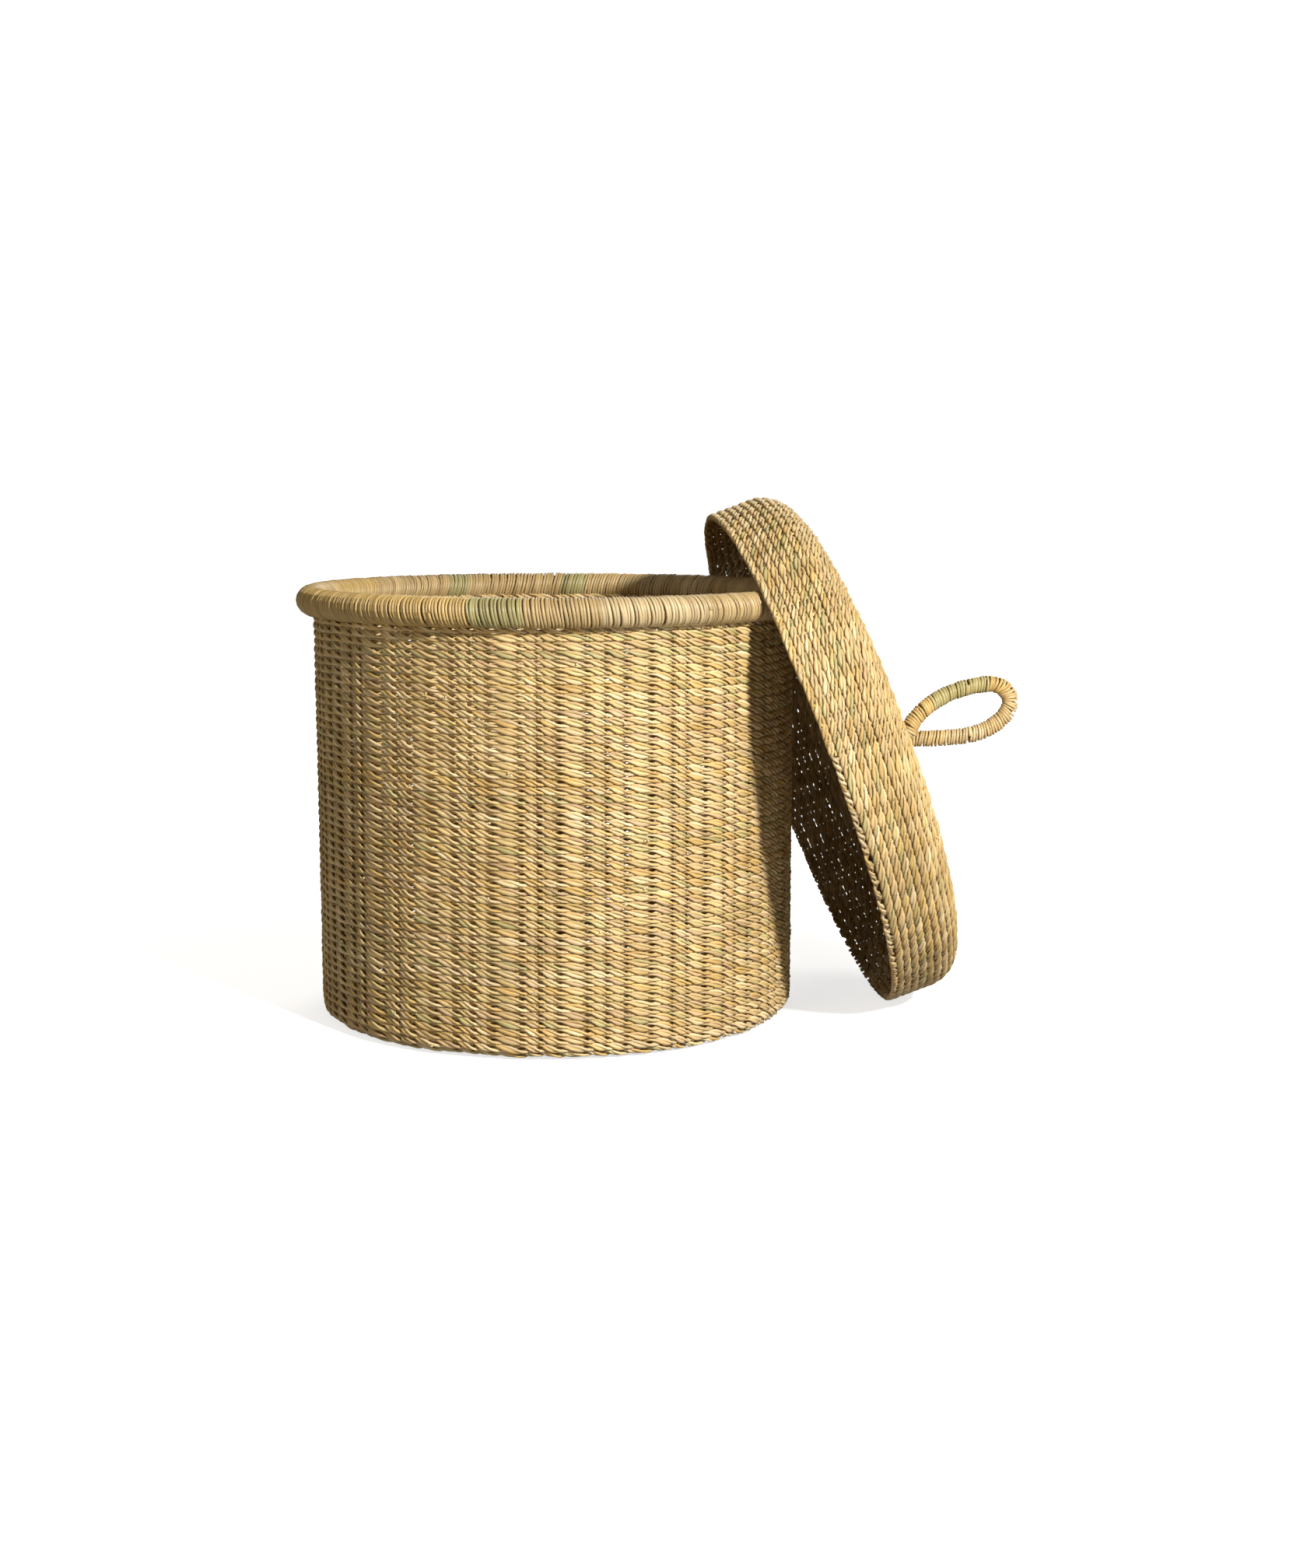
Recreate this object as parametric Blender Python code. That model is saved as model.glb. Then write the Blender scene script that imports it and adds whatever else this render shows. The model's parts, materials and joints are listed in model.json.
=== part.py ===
"""Round laundry basket twined in straw, with its cap-like lid leaning on the rim.

Metres, +Z up. The origin is the middle of the basket's flat underside. The lid
leans towards +X with its open side on the rim and its lower edge on the floor.
"""
import math

import bpy
from mathutils import Matrix, Vector

# Gap kept between neighbouring pieces.
GAP = 0.0003
# Facets round every large ring, and the side facets of a slender tube.
RING_FACETS = 64
TUBE_FACETS = 8

# Basket: outer radius of the wall, height of the hoop's middle, upright stakes.
WALL_RADIUS = 0.2235
WEAVE_THICKNESS = 0.0042
STAKE_COUNT = 72
STAKE_WIDTH = 0.0024
STAKE_THICKNESS = 0.0020
CORNER_RADIUS = 0.007
RIM_HEIGHT = 0.388
RIM_RING_RADIUS = 0.2267
RIM_TUBE_RADIUS = 0.0133
WRAP_THICKNESS = 0.0026
RIM_WRAP_COUNT = 6

# Lid: a shallow cap with a soft shoulder and a slightly domed top.
LID_RADIUS = 0.2468
LID_HEIGHT = 0.074
LID_SHOULDER = 0.031
LID_DOME = 0.022
LID_WEAVE = 0.0030
LID_STAKE_THICKNESS = 0.0022
LID_BORDER_HEIGHT = 0.007
LID_LEAN = math.radians(19.6)
LID_OPEN_X = 0.2288
FLOOR_CLEARANCE = 0.0002

# Lid path: two hinge lines parallel to Y. The first is equally far from the
# leaning and the closed place of the second, and set back from between them.
LID_CLOSED_Z = 0.3420
TURN_ABOVE_OPEN_EDGE = 0.060
SWING_SET_BACK = 0.0875

# Handle: a drooping loop of wrapped straw. Its route holds distances from the dome's
# middle: out along the lid's axis, up across it, and sideways.
HANDLE_RADIUS = 0.0076
HANDLE_CORE_RADIUS = 0.0048
COLLAR_RADIUS = 0.0125
COLLAR_PROUD = 0.004
HOLE_RADIUS = 0.0095
KNOT_RADIUS = 0.0138
KNOT_LENGTH = 0.034
FLEX_ABOVE_DOME = 0.0015
HANDLE_STATIONS = 44
HANDLE_ROUTE = (
    (0.0135, -0.0205, 0.0080), (0.0225, -0.0232, 0.0066), (0.0330, -0.0268, 0.0048),
    (0.0500, -0.0320, 0.0025), (0.0708, -0.0368, 0.0), (0.0900, -0.0378, 0.0),
    (0.1079, -0.0331, 0.0), (0.1195, -0.0232, 0.0), (0.1205, -0.0100, 0.0),
    (0.1120, 0.0005, 0.0), (0.0938, 0.0061, 0.0), (0.0696, 0.0080, 0.0),
    (0.0480, 0.0054, -0.0025), (0.0320, 0.0000, -0.0052), (0.0205, -0.0072, -0.0070),
    (0.0140, -0.0140, -0.0080),
)
HANDLE_WRAP_ENDS = (0.0, 0.30, 0.66, 1.0)

# Colours of the straw, as linear RGB.
STRAW_GOLD = (0.56, 0.37, 0.16)
STRAW_TAN = (0.60, 0.43, 0.22)
STRAW_GREEN = (0.42, 0.38, 0.16)
STAKE_TAN = (0.50, 0.34, 0.16)


def clear_scene():
    """Removes whatever the opened file holds."""
    for item in list(bpy.data.objects):
        bpy.data.objects.remove(item, do_unlink=True)


def straw(name, colour, roughness=0.55):
    """A plain straw finish."""
    material = bpy.data.materials.new(name)
    material.use_nodes = True
    shader = material.node_tree.nodes["Principled BSDF"]
    shader.inputs["Base Color"].default_value = (*colour, 1.0)
    shader.inputs["Roughness"].default_value = roughness
    shader.inputs["Metallic"].default_value = 0.0
    return material


def add_piece(name, verts, faces, material, parent=None, place=Matrix()):
    """Makes one piece from its vertices and faces, given in its parent's frame."""
    mesh = bpy.data.meshes.new(name)
    mesh.from_pydata([place @ Vector(v) for v in verts], [], faces)
    mesh.update()
    mesh.shade_smooth()
    mesh.set_sharp_from_angle(angle=math.radians(40))
    mesh.materials.append(material)
    piece = bpy.data.objects.new(name, mesh)
    bpy.context.scene.collection.objects.link(piece)
    piece.parent = parent
    return piece


def add_axis(name, location, parent=None):
    """An empty that marks a hinge line."""
    axis = bpy.data.objects.new(name, None)
    axis.empty_display_size = 0.02
    axis.location = location
    axis.parent = parent
    bpy.context.scene.collection.objects.link(axis)
    return axis


def turned(profile, facets):
    """Turns a closed profile, listed anticlockwise as (radius, height), about Z.

    A point at radius 0 becomes one vertex on the axis.
    """
    verts = []
    rings = []
    for radius, height in profile:
        if radius == 0.0:
            rings.append([len(verts)] * facets)
            verts.append((0.0, 0.0, height))
            continue
        rings.append(list(range(len(verts), len(verts) + facets)))
        for step in range(facets):
            angle = math.tau * step / facets
            verts.append((radius * math.cos(angle), radius * math.sin(angle), height))
    faces = []
    count = len(profile)
    for index in range(count):
        lower = rings[index]
        upper = rings[(index + 1) % count]
        if lower[0] == lower[1] and upper[0] == upper[1]:
            continue
        for step in range(facets):
            after = (step + 1) % facets
            corners = [lower[step], lower[after], upper[after], upper[step]]
            faces.append(list(dict.fromkeys(corners)))
    return verts, faces


def ring_section(middle_radius, middle_height, tube_radius, facets):
    """The round section of a hoop, as a closed profile."""
    return [
        (middle_radius + tube_radius * math.cos(math.tau * step / facets),
         middle_height + tube_radius * math.sin(math.tau * step / facets))
        for step in range(facets)
    ]


def arc(middle_radius, middle_height, size, first, last, steps):
    """Points along an arc of a profile, with its angles in degrees."""
    points = []
    for step in range(steps + 1):
        angle = math.radians(first + (last - first) * step / steps)
        points.append((middle_radius + size * math.cos(angle),
                       middle_height + size * math.sin(angle)))
    return points


def sleeve(frames, outer, inner, facets):
    """A hollow tube along a run of (point, side, up) frames, with flat ends."""
    verts = []
    for radius in (outer, inner):
        for point, side, up in frames:
            for step in range(facets):
                angle = math.tau * step / facets
                verts.append(point + radius * (math.cos(angle) * side + math.sin(angle) * up))
    stations = len(frames)

    def at(shell, station, step):
        return (shell * stations + station) * facets + step % facets

    faces = []
    for step in range(facets):
        for station in range(stations - 1):
            faces.append((at(0, station, step), at(0, station, step + 1),
                          at(0, station + 1, step + 1), at(0, station + 1, step)))
            faces.append((at(1, station, step), at(1, station + 1, step),
                          at(1, station + 1, step + 1), at(1, station, step + 1)))
        faces.append((at(0, 0, step), at(1, 0, step), at(1, 0, step + 1), at(0, 0, step + 1)))
        end = stations - 1
        faces.append((at(0, end, step), at(0, end, step + 1),
                      at(1, end, step + 1), at(1, end, step)))
    return verts, faces


def rod(frames, radius, facets):
    """A solid tube along a run of (point, side, up) frames."""
    verts = []
    for point, side, up in frames:
        for step in range(facets):
            angle = math.tau * step / facets
            verts.append(point + radius * (math.cos(angle) * side + math.sin(angle) * up))
    faces = [tuple(reversed(range(facets)))]
    for station in range(len(frames) - 1):
        for step in range(facets):
            after = (step + 1) % facets
            near = station * facets
            far = near + facets
            faces.append((near + step, near + after, far + after, far + step))
    last = (len(frames) - 1) * facets
    faces.append(tuple(range(last, last + facets)))
    return verts, faces


def stake_cage(outline, count, width, hole_radius):
    """Stakes that fan out from a shared hub, as one body.

    The outline is the side view of one stake as (radius, height), listed from the
    hub's underside out along the stake and back to the hub's upper side.
    """
    half = width / 2
    hub_radius = half / math.sin(math.pi / count)
    points = len(outline)
    verts = []
    for stake in range(count):
        angle = math.tau * stake / count
        along = Vector((math.cos(angle), math.sin(angle), 0.0))
        across = Vector((-math.sin(angle), math.cos(angle), 0.0))
        for side in (-half, half):
            for radius, height in outline[1:-1]:
                verts.append(along * radius + across * side + Vector((0.0, 0.0, height)))
    inner = points - 2

    def stake_vert(stake, side, index):
        return (stake % count) * 2 * inner + side * inner + index

    hub_start = len(verts)
    for height in (outline[0][1], outline[-1][1]):
        for stake in range(count):
            angle = math.tau * (stake + 0.5) / count
            verts.append(Vector((hub_radius * math.cos(angle), hub_radius * math.sin(angle), height)))

    def hub_vert(level, stake):
        return hub_start + level * count + stake % count

    faces = []
    for stake in range(count):
        for side in (0, 1):
            notch = stake - 1 + side
            loop = [hub_vert(0, notch)]
            loop += [stake_vert(stake, side, index) for index in range(inner)]
            loop.append(hub_vert(1, notch))
            faces.append(tuple(loop) if side == 0 else tuple(reversed(loop)))
        for index in range(inner - 1):
            faces.append((stake_vert(stake, 0, index), stake_vert(stake, 1, index),
                          stake_vert(stake, 1, index + 1), stake_vert(stake, 0, index + 1)))
        faces.append((hub_vert(0, stake - 1), hub_vert(0, stake),
                      stake_vert(stake, 1, 0), stake_vert(stake, 0, 0)))
        faces.append((hub_vert(1, stake), hub_vert(1, stake - 1),
                      stake_vert(stake, 0, inner - 1), stake_vert(stake, 1, inner - 1)))
    if hole_radius == 0.0:
        faces.append(tuple(hub_vert(0, stake) for stake in reversed(range(count))))
        faces.append(tuple(hub_vert(1, stake) for stake in range(count)))
        return verts, faces
    hole_start = len(verts)
    for height in (outline[0][1], outline[-1][1]):
        for stake in range(count):
            angle = math.tau * (stake + 0.5) / count
            verts.append(Vector((hole_radius * math.cos(angle), hole_radius * math.sin(angle), height)))
    for stake in range(count):
        after = (stake + 1) % count
        low = hole_start + stake
        low_after = hole_start + after
        high = low + count
        high_after = low_after + count
        faces.append((hub_vert(0, after), hub_vert(0, stake), low, low_after))
        faces.append((hub_vert(1, stake), hub_vert(1, after), high_after, high))
        faces.append((low, high, high_after, low_after))
    return verts, faces


def smooth_route(points, stations):
    """Evenly numbered points on a Catmull-Rom curve through the route's points."""
    ends = (2 * points[0] - points[1], 2 * points[-1] - points[-2])
    padded = [ends[0], *points, ends[1]]
    spans = len(points) - 1
    result = []
    for station in range(stations):
        place = spans * station / (stations - 1)
        span = min(int(place), spans - 1)
        t = place - span
        a, b, c, d = padded[span:span + 4]
        result.append(0.5 * (2 * b + (c - a) * t + (2 * a - 5 * b + 4 * c - d) * t ** 2
                             + (3 * b - a - 3 * c + d) * t ** 3))
    return result


def route_frames(points, sideways):
    """Frames along a route that stays almost square to the unit vector sideways."""
    frames = []
    last = len(points) - 1
    for index, point in enumerate(points):
        heading = (points[min(index + 1, last)] - points[max(index - 1, 0)]).normalized()
        lift = heading.cross(sideways).normalized()
        frames.append((point, lift.cross(heading), lift))
    return frames


def build_basket(finish):
    """Base, wall, stakes and the wrapped hoop on the rim."""
    stake_outer = WALL_RADIUS - WEAVE_THICKNESS - GAP
    stake_inner = stake_outer - STAKE_THICKNESS
    wall_inner = WALL_RADIUS - WEAVE_THICKNESS
    wall_top = RIM_HEIGHT - RIM_TUBE_RADIUS - GAP
    base_top = WEAVE_THICKNESS
    edge = CORNER_RADIUS / 4
    base_radius = wall_inner - GAP
    base = [(0.0, 0.0), (base_radius - edge, 0.0), (base_radius, edge),
            (base_radius, base_top), (0.0, base_top)]
    add_piece("basket_base_weave", *turned(base, RING_FACETS), finish["weave"])

    corner = arc(WALL_RADIUS - CORNER_RADIUS, CORNER_RADIUS, CORNER_RADIUS, -62, 0, 3)
    wall = [(wall_inner, 0.0 + edge), *corner, (WALL_RADIUS, wall_top), (wall_inner, wall_top)]
    add_piece("basket_wall_weave", *turned(wall, RING_FACETS), finish["weave"])

    floor = base_top + GAP
    outline = [(0.0, floor), (stake_outer, floor), (stake_outer, wall_top),
               (stake_inner, wall_top), (stake_inner, floor + STAKE_THICKNESS),
               (0.0, floor + STAKE_THICKNESS)]
    add_piece("basket_stakes", *stake_cage(outline, STAKE_COUNT, STAKE_WIDTH, 0.0),
              finish["stake"])

    core_radius = RIM_TUBE_RADIUS - WRAP_THICKNESS
    hoop = ring_section(RIM_RING_RADIUS, RIM_HEIGHT, core_radius - GAP, TUBE_FACETS)
    add_piece("rim_hoop", *turned(hoop, RING_FACETS * 3 // 4), finish["stake"])
    build_rim_wraps(finish, core_radius)


def build_rim_wraps(finish, core_radius):
    """The hoop's wrapping, one piece for each length of straw in turn."""
    steps = RING_FACETS * 3 // 4 // RIM_WRAP_COUNT
    gap_angle = GAP / RIM_RING_RADIUS
    up = Vector((0.0, 0.0, 1.0))
    colours = ("gold", "tan", "tan", "gold", "green", "tan")
    for index in range(RIM_WRAP_COUNT):
        first = math.tau * index / RIM_WRAP_COUNT
        frames = []
        for step in range(steps + 1):
            angle = first + math.tau / RIM_WRAP_COUNT * step / steps
            if step == 0:
                angle += gap_angle
            if step == steps:
                angle -= gap_angle
            out = Vector((math.cos(angle), math.sin(angle), 0.0))
            frames.append((out * RIM_RING_RADIUS + up * RIM_HEIGHT, out, up))
        verts, faces = sleeve(frames, RIM_TUBE_RADIUS, core_radius, TUBE_FACETS)
        faces = [tuple(reversed(face)) for face in faces]
        add_piece(f"rim_wrap_{index + 1}", verts, faces, finish[colours[index]])


def dome_line(inset):
    """The domed top's outer line, set in by a distance, from the shoulder to the hole."""
    flat_radius = LID_RADIUS - LID_SHOULDER - GAP
    points = [(flat_radius * part, LID_HEIGHT - inset + LID_DOME * (1 - part ** 2))
              for part in (1.0, 0.75, 0.5, 0.25)]
    points.append((HOLE_RADIUS + GAP, LID_HEIGHT - inset + LID_DOME))
    return points


def build_lid(finish, axis, place):
    """Top, shoulder, skirt, stakes, border and the collar where the handle goes through."""
    skirt_top = LID_HEIGHT - LID_SHOULDER
    shoulder_radius = LID_RADIUS - LID_SHOULDER
    dome = LID_HEIGHT + LID_DOME
    skirt_foot = LID_BORDER_HEIGHT + GAP
    stake_inset = LID_WEAVE + GAP
    full_inset = stake_inset + LID_STAKE_THICKNESS

    top = dome_line(0.0) + list(reversed(dome_line(LID_WEAVE)))
    add_piece("lid_top_weave", *turned(top, RING_FACETS), finish["weave"], axis, place)

    outer = arc(shoulder_radius, skirt_top, LID_SHOULDER, 0, 90, 4)
    inner = arc(shoulder_radius, skirt_top, LID_SHOULDER - LID_WEAVE, 90, 0, 4)
    shoulder = turned(outer + inner, RING_FACETS)
    add_piece("lid_shoulder_weave", *shoulder, finish["weave"], axis, place)

    skirt = [(LID_RADIUS - LID_WEAVE, skirt_foot), (LID_RADIUS, skirt_foot),
             (LID_RADIUS, skirt_top - GAP), (LID_RADIUS - LID_WEAVE, skirt_top - GAP)]
    add_piece("lid_skirt_weave", *turned(skirt, RING_FACETS), finish["weave"], axis, place)

    reach = (0.5, 1.0)
    lower = []
    upper = []
    for inset, line in ((full_inset, lower), (stake_inset, upper)):
        line.append((0.0, dome - inset - GAP))
        for part in reach:
            line.append((shoulder_radius * part, LID_HEIGHT - inset - GAP + LID_DOME * (1 - part ** 2)))
        line += arc(shoulder_radius, skirt_top, LID_SHOULDER - inset, 45, 0, 1)
        line.append((LID_RADIUS - inset, skirt_foot))
    outline = lower + list(reversed(upper))
    cage = stake_cage(outline, STAKE_COUNT, STAKE_WIDTH, HOLE_RADIUS + GAP)
    add_piece("lid_stakes", *cage, finish["stake"], axis, place)

    half = full_inset / 2
    border = [(LID_RADIUS - half + half * math.cos(math.tau * step / TUBE_FACETS),
               LID_BORDER_HEIGHT / 2 * (1 + math.sin(math.tau * step / TUBE_FACETS)))
              for step in range(TUBE_FACETS)]
    add_piece("lid_edge_border", *turned(border, RING_FACETS), finish["tan"], axis, place)

    foot = TURN_ABOVE_OPEN_EDGE + KNOT_RADIUS + 2 * GAP
    collar = [(0.0, foot), (HOLE_RADIUS, foot), (HOLE_RADIUS, dome + GAP),
              (COLLAR_RADIUS, dome + GAP), (COLLAR_RADIUS, dome + COLLAR_PROUD / 2),
              (HOLE_RADIUS, dome + COLLAR_PROUD), (0.0, dome + COLLAR_PROUD)]
    add_piece("handle_collar", *turned(collar, RING_FACETS // 4), finish["gold"], axis, place)


def build_knot(finish, axis):
    """The knot that holds the handle's tails inside the lid, round about its hinge line."""
    half = KNOT_LENGTH / 2
    neck = KNOT_RADIUS * 0.6
    barrel = [(0.0, -half), (neck, -half), (KNOT_RADIUS * 0.92, -half * 0.6), (KNOT_RADIUS, 0.0),
              (KNOT_RADIUS * 0.92, half * 0.6), (neck, half), (0.0, half)]
    along_y = Matrix.Rotation(math.radians(-90), 4, "X")
    add_piece("handle_tail_knot", *turned(barrel, RING_FACETS // 4), finish["gold"], axis, along_y)


def build_handle(finish, axis, place):
    """The loop: a straw core and the lengths of straw wrapped round it."""
    dome = LID_HEIGHT + LID_DOME
    route = [place @ Vector((-across, aside, dome + along))
             for along, across, aside in HANDLE_ROUTE]
    points = smooth_route(route, HANDLE_STATIONS)
    frames = route_frames(points, Vector((0.0, 1.0, 0.0)))
    core = rod(frames, HANDLE_CORE_RADIUS, TUBE_FACETS)
    add_piece("handle_core", *core, finish["stake"], axis)
    colours = ("tan", "gold", "green")
    last = HANDLE_STATIONS - 1
    for index, colour in enumerate(colours):
        first = round(HANDLE_WRAP_ENDS[index] * last)
        final = round(HANDLE_WRAP_ENDS[index + 1] * last)
        section = list(frames[first:final + 1])
        heading = (section[1][0] - section[0][0]).normalized()
        if index > 0:
            section[0] = (section[0][0] + heading * GAP, *section[0][1:])
        wrap = sleeve(section, HANDLE_RADIUS, HANDLE_CORE_RADIUS + GAP, TUBE_FACETS)
        add_piece(f"handle_wrap_{index + 1}", *wrap, finish[colour], axis)


def swing_centre(turn_point):
    """Where the swing hinge crosses the XZ plane."""
    closed_point = Vector((0.0, 0.0, LID_CLOSED_Z + TURN_ABOVE_OPEN_EDGE))
    chord = (closed_point - turn_point).normalized()
    set_back = Vector((chord.z, 0.0, -chord.x))
    return (turn_point + closed_point) / 2 + set_back * SWING_SET_BACK


def main():
    """Builds the basket, and the lid at rest against its rim."""
    clear_scene()
    finish = {
        "weave": straw("twined_straw", STRAW_TAN),
        "tan": straw("tan_straw", STRAW_TAN, 0.5),
        "gold": straw("golden_straw", STRAW_GOLD, 0.5),
        "green": straw("greenish_straw", STRAW_GREEN, 0.5),
        "stake": straw("stake_straw", STAKE_TAN, 0.6),
    }
    build_basket(finish)

    # The lid's own +Z is its axis. Its open edge touches the floor at +X.
    border_rise = LID_BORDER_HEIGHT / 2 * math.sin(LID_LEAN)
    lid_open_z = LID_RADIUS * math.cos(LID_LEAN) - border_rise + FLOOR_CLEARANCE
    lid_open = Vector((LID_OPEN_X, 0.0, lid_open_z))
    lid_turn = Matrix.Rotation(math.pi / 2 - LID_LEAN, 4, "Y")
    turn_point = lid_open + lid_turn @ Vector((0.0, 0.0, TURN_ABOVE_OPEN_EDGE))
    flex_height = LID_HEIGHT + LID_DOME + FLEX_ABOVE_DOME
    flex_point = lid_open + lid_turn @ Vector((0.0, 0.0, flex_height))
    swing_point = swing_centre(turn_point)

    swing = add_axis("lid_swing_axis", swing_point)
    turn = add_axis("lid_turn_axis", turn_point - swing_point, swing)
    flex = add_axis("handle_flex_axis", flex_point - turn_point, turn)
    to_turn = Matrix.Translation(lid_open - turn_point) @ lid_turn
    to_flex = Matrix.Translation(lid_open - flex_point) @ lid_turn
    build_knot(finish, turn)
    build_lid(finish, turn, to_turn)
    build_handle(finish, flex, to_flex)


main()
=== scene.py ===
"""Twined straw laundry basket: the woven surfaces, windings, materials, lights and camera."""

import json
import math

import bpy
import numpy as np
from mathutils import Matrix, Vector


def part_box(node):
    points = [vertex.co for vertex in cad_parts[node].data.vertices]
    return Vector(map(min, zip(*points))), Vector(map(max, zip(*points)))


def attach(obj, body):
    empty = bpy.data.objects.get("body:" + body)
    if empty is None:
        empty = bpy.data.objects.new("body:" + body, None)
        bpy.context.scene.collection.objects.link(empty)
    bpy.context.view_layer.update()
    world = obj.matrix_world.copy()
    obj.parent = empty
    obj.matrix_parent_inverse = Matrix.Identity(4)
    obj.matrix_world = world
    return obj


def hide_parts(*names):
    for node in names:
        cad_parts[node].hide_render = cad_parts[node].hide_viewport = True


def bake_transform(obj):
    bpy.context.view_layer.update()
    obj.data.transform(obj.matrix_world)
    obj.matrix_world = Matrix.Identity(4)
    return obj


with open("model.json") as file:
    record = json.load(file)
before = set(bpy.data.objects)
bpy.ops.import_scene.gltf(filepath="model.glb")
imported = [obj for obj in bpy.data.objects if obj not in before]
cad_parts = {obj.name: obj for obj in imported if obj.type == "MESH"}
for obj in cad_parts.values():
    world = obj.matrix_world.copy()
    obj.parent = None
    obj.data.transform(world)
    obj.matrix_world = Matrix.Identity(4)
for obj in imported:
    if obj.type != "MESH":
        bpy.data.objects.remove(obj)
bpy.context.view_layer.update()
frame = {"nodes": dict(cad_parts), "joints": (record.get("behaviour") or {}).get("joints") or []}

TAU = math.tau
MM = 0.001

# Twined rows: two strands cross between the stakes, and each strand is a pair of straws.
PITCH = 7.25 * MM
STRAW_SIDES = 6
MAIN_HALF_WIDTH = 2.12 * MM
THIN_HALF_WIDTH = 1.72 * MM
STRAW_HALF_DEPTH = 1.25 * MM
PAIR_OFFSET = 1.70 * MM
WALL_SLANT = 2.15 * MM
LID_SLANT = -1.85 * MM
STRAND_LAG = 0.35
OUTWARD_HOLD = 0.25
CREST_FLATNESS = 0.8
CROSSING_NARROWING = 0.26
CROSSING_GATHER = 0.45
SLIMMEST = 0.55
FULL_WIDTH_STITCH = 11 * MM
STAKE_JITTER = 0.16
STAKE_WANDER_ANGLE = 0.003
STITCH_JITTER = 0.35 * MM
STRAW_LIFT = 0.25 * MM
RUN_STITCHES = (5, 19)
GRAIN_PER_METRE = 20

# Wound straw is painted a little darker than the twined straw, as painted shade that damps the
# light its smooth turns catch, and no two turns are alike.
WINDING_PAINTED_SHADE_TONE = 0.74
WRAP_NUDGE = 0.52
WRAP_WIDTH_VARIATION = 0.26
WRAP_DEPTH_VARIATION = 0.15
WRAP_SHADE_VARIATION = 0.17
WRAP_RISE = 0.36 * MM

# Straw colours, linear, with how often each turns up in the weave.
PALETTE = {
    "tan": ((0.598, 0.440, 0.208), 0.36),
    "gold": ((0.585, 0.408, 0.152), 0.17),
    "cream": ((0.685, 0.540, 0.300), 0.20),
    "straw": ((0.570, 0.440, 0.195), 0.16),
    "green": ((0.460, 0.405, 0.180), 0.05),
    "rose": ((0.530, 0.380, 0.205), 0.06),
}
COLOURS = np.array([entry[0] for entry in PALETTE.values()])
SHARES = np.array([entry[1] for entry in PALETTE.values()])
SHARES = SHARES / SHARES.sum()
COLOUR_NAMES = list(PALETTE)
GOLD = COLOURS[COLOUR_NAMES.index("gold")]
CREAM = COLOURS[COLOUR_NAMES.index("cream")]


# ---------------------------------------------------------------- numbers

def scatter(index, salt):
    """A repeatable random number from -1 to 1 for each index."""
    value = np.sin(np.asarray(index, float) * 12.9898 + salt * 78.233) * 43758.5453
    return 2.0 * (value - np.floor(value)) - 1.0


def unit(vectors):
    """Vectors made 1 long, one to a row."""
    return vectors / np.linalg.norm(vectors, axis=-1, keepdims=True)


def set_at(place, points):
    """Points moved from a part's own frame to its place."""
    matrix = np.array(place)
    return points @ matrix[:3, :3].T + matrix[:3, 3]


def smoothstep(low, high, value):
    part = np.clip((value - low) / (high - low), 0.0, 1.0)
    return part * part * (3.0 - 2.0 * part)


def ripple(theta, along, harmonics, salt, reach=0.0):
    """Smooth noise round a turn, about -1 to 1, which drifts with the place along the profile."""
    total = np.zeros(np.broadcast(theta, along).shape)
    for number in harmonics:
        start = math.pi * scatter(number, salt)
        drift = reach * scatter(number, salt + 1.7)
        total += np.sin(number * theta + start + drift * along)
    return total / math.sqrt(len(harmonics))


# ---------------------------------------------------------------- surfaces

class Surface:
    """A turned surface: a profile of (radius, height) and the place it sits in."""

    def __init__(self, points, outward, place):
        profile = np.array(points, float)
        steps = np.hypot(*np.diff(profile, axis=0).T)
        self.length_at = np.concatenate([[0.0], np.cumsum(steps)])
        self.length = self.length_at[-1]
        self.profile = profile
        self.outward = outward
        self.place = place

    def reach(self, along):
        """Radius and height at a length along the profile."""
        return (np.interp(along, self.length_at, self.profile[:, 0]),
                np.interp(along, self.length_at, self.profile[:, 1]))

    def frame_at(self, along, theta, bulge):
        """Points on the surface, and its directions along the profile and outward."""
        step = 1.5 * MM
        radius, height = self.reach(along)
        radius_before, height_before = self.reach(along - step)
        radius_after, height_after = self.reach(along + step)
        run = radius_after - radius_before
        rise = height_after - height_before
        size = np.hypot(run, rise)
        run, rise = run / size, rise / size
        cos, sin = np.cos(theta), np.sin(theta)
        out_run, out_rise = self.outward * rise, -self.outward * run
        point = np.stack([(radius + bulge * out_run) * cos, (radius + bulge * out_run) * sin,
                          height + bulge * out_rise], -1)
        tangent = np.stack([run * cos, run * sin, rise], -1)
        normal = np.stack([out_run * cos, out_run * sin, out_rise], -1)
        return point, tangent, normal


def arc_points(middle, size, first, last, steps=10):
    """Profile points on an arc, with its angles in degrees."""
    return [(middle[0] + size * math.cos(math.radians(first + (last - first) * step / steps)),
             middle[1] + size * math.sin(math.radians(first + (last - first) * step / steps)))
            for step in range(steps + 1)]


# ---------------------------------------------------------------- meshes

def add_to_scene(thing):
    bpy.context.scene.collection.objects.link(thing)


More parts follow.
